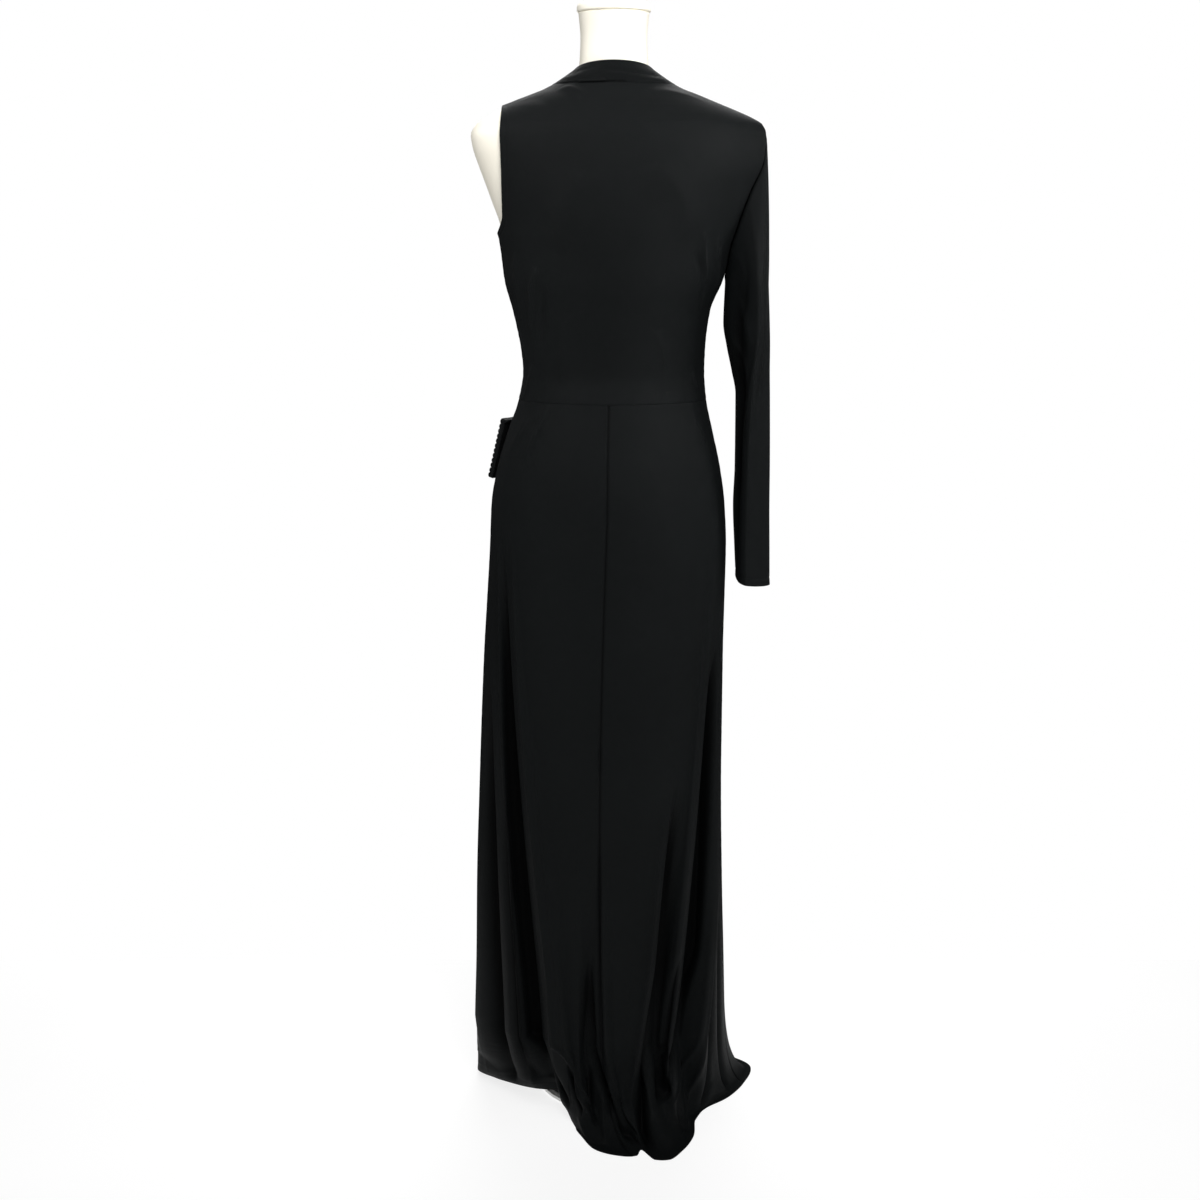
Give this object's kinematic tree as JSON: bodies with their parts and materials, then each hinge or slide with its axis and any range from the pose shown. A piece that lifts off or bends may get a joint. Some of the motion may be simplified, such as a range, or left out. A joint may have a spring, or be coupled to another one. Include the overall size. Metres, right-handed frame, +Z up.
{
  "type": "one-sleeved gown on a dress form",
  "caption": "Long narrow jersey gown with one long sleeve, a bare opposite armhole, a soft standing collar and a short train, worn by a limbless dress form on a round stand.",
  "frame": {"origin": "centre of the base's underside, on the dress form's axis, at floor level", "axes": "+Z up. The gown's back faces -Y. Its sleeve is on +X and its bare armhole on -X"},
  "size_m": [0.4172, 0.3886, 1.516],
  "materials": {
    "black_jersey": "matt fine knit",
    "ribbed_trim": "ribbed, slight sheen",
    "ivory_form": "eggshell",
    "white_steel": "satin white"
  },
  "bodies": {
    "root": {"bodice_back": "black_jersey", "bodice_front": "black_jersey", "skirt_back_left": "black_jersey", "skirt_back_right": "black_jersey", "skirt_front": "black_jersey", "sleeve": "black_jersey", "collar": "black_jersey", "hip_band": "ribbed_trim", "form_torso": "ivory_form", "form_neck_cap": "ivory_form", "stand_pole": "white_steel", "stand_base": "white_steel"}
  },
  "joints": []
}
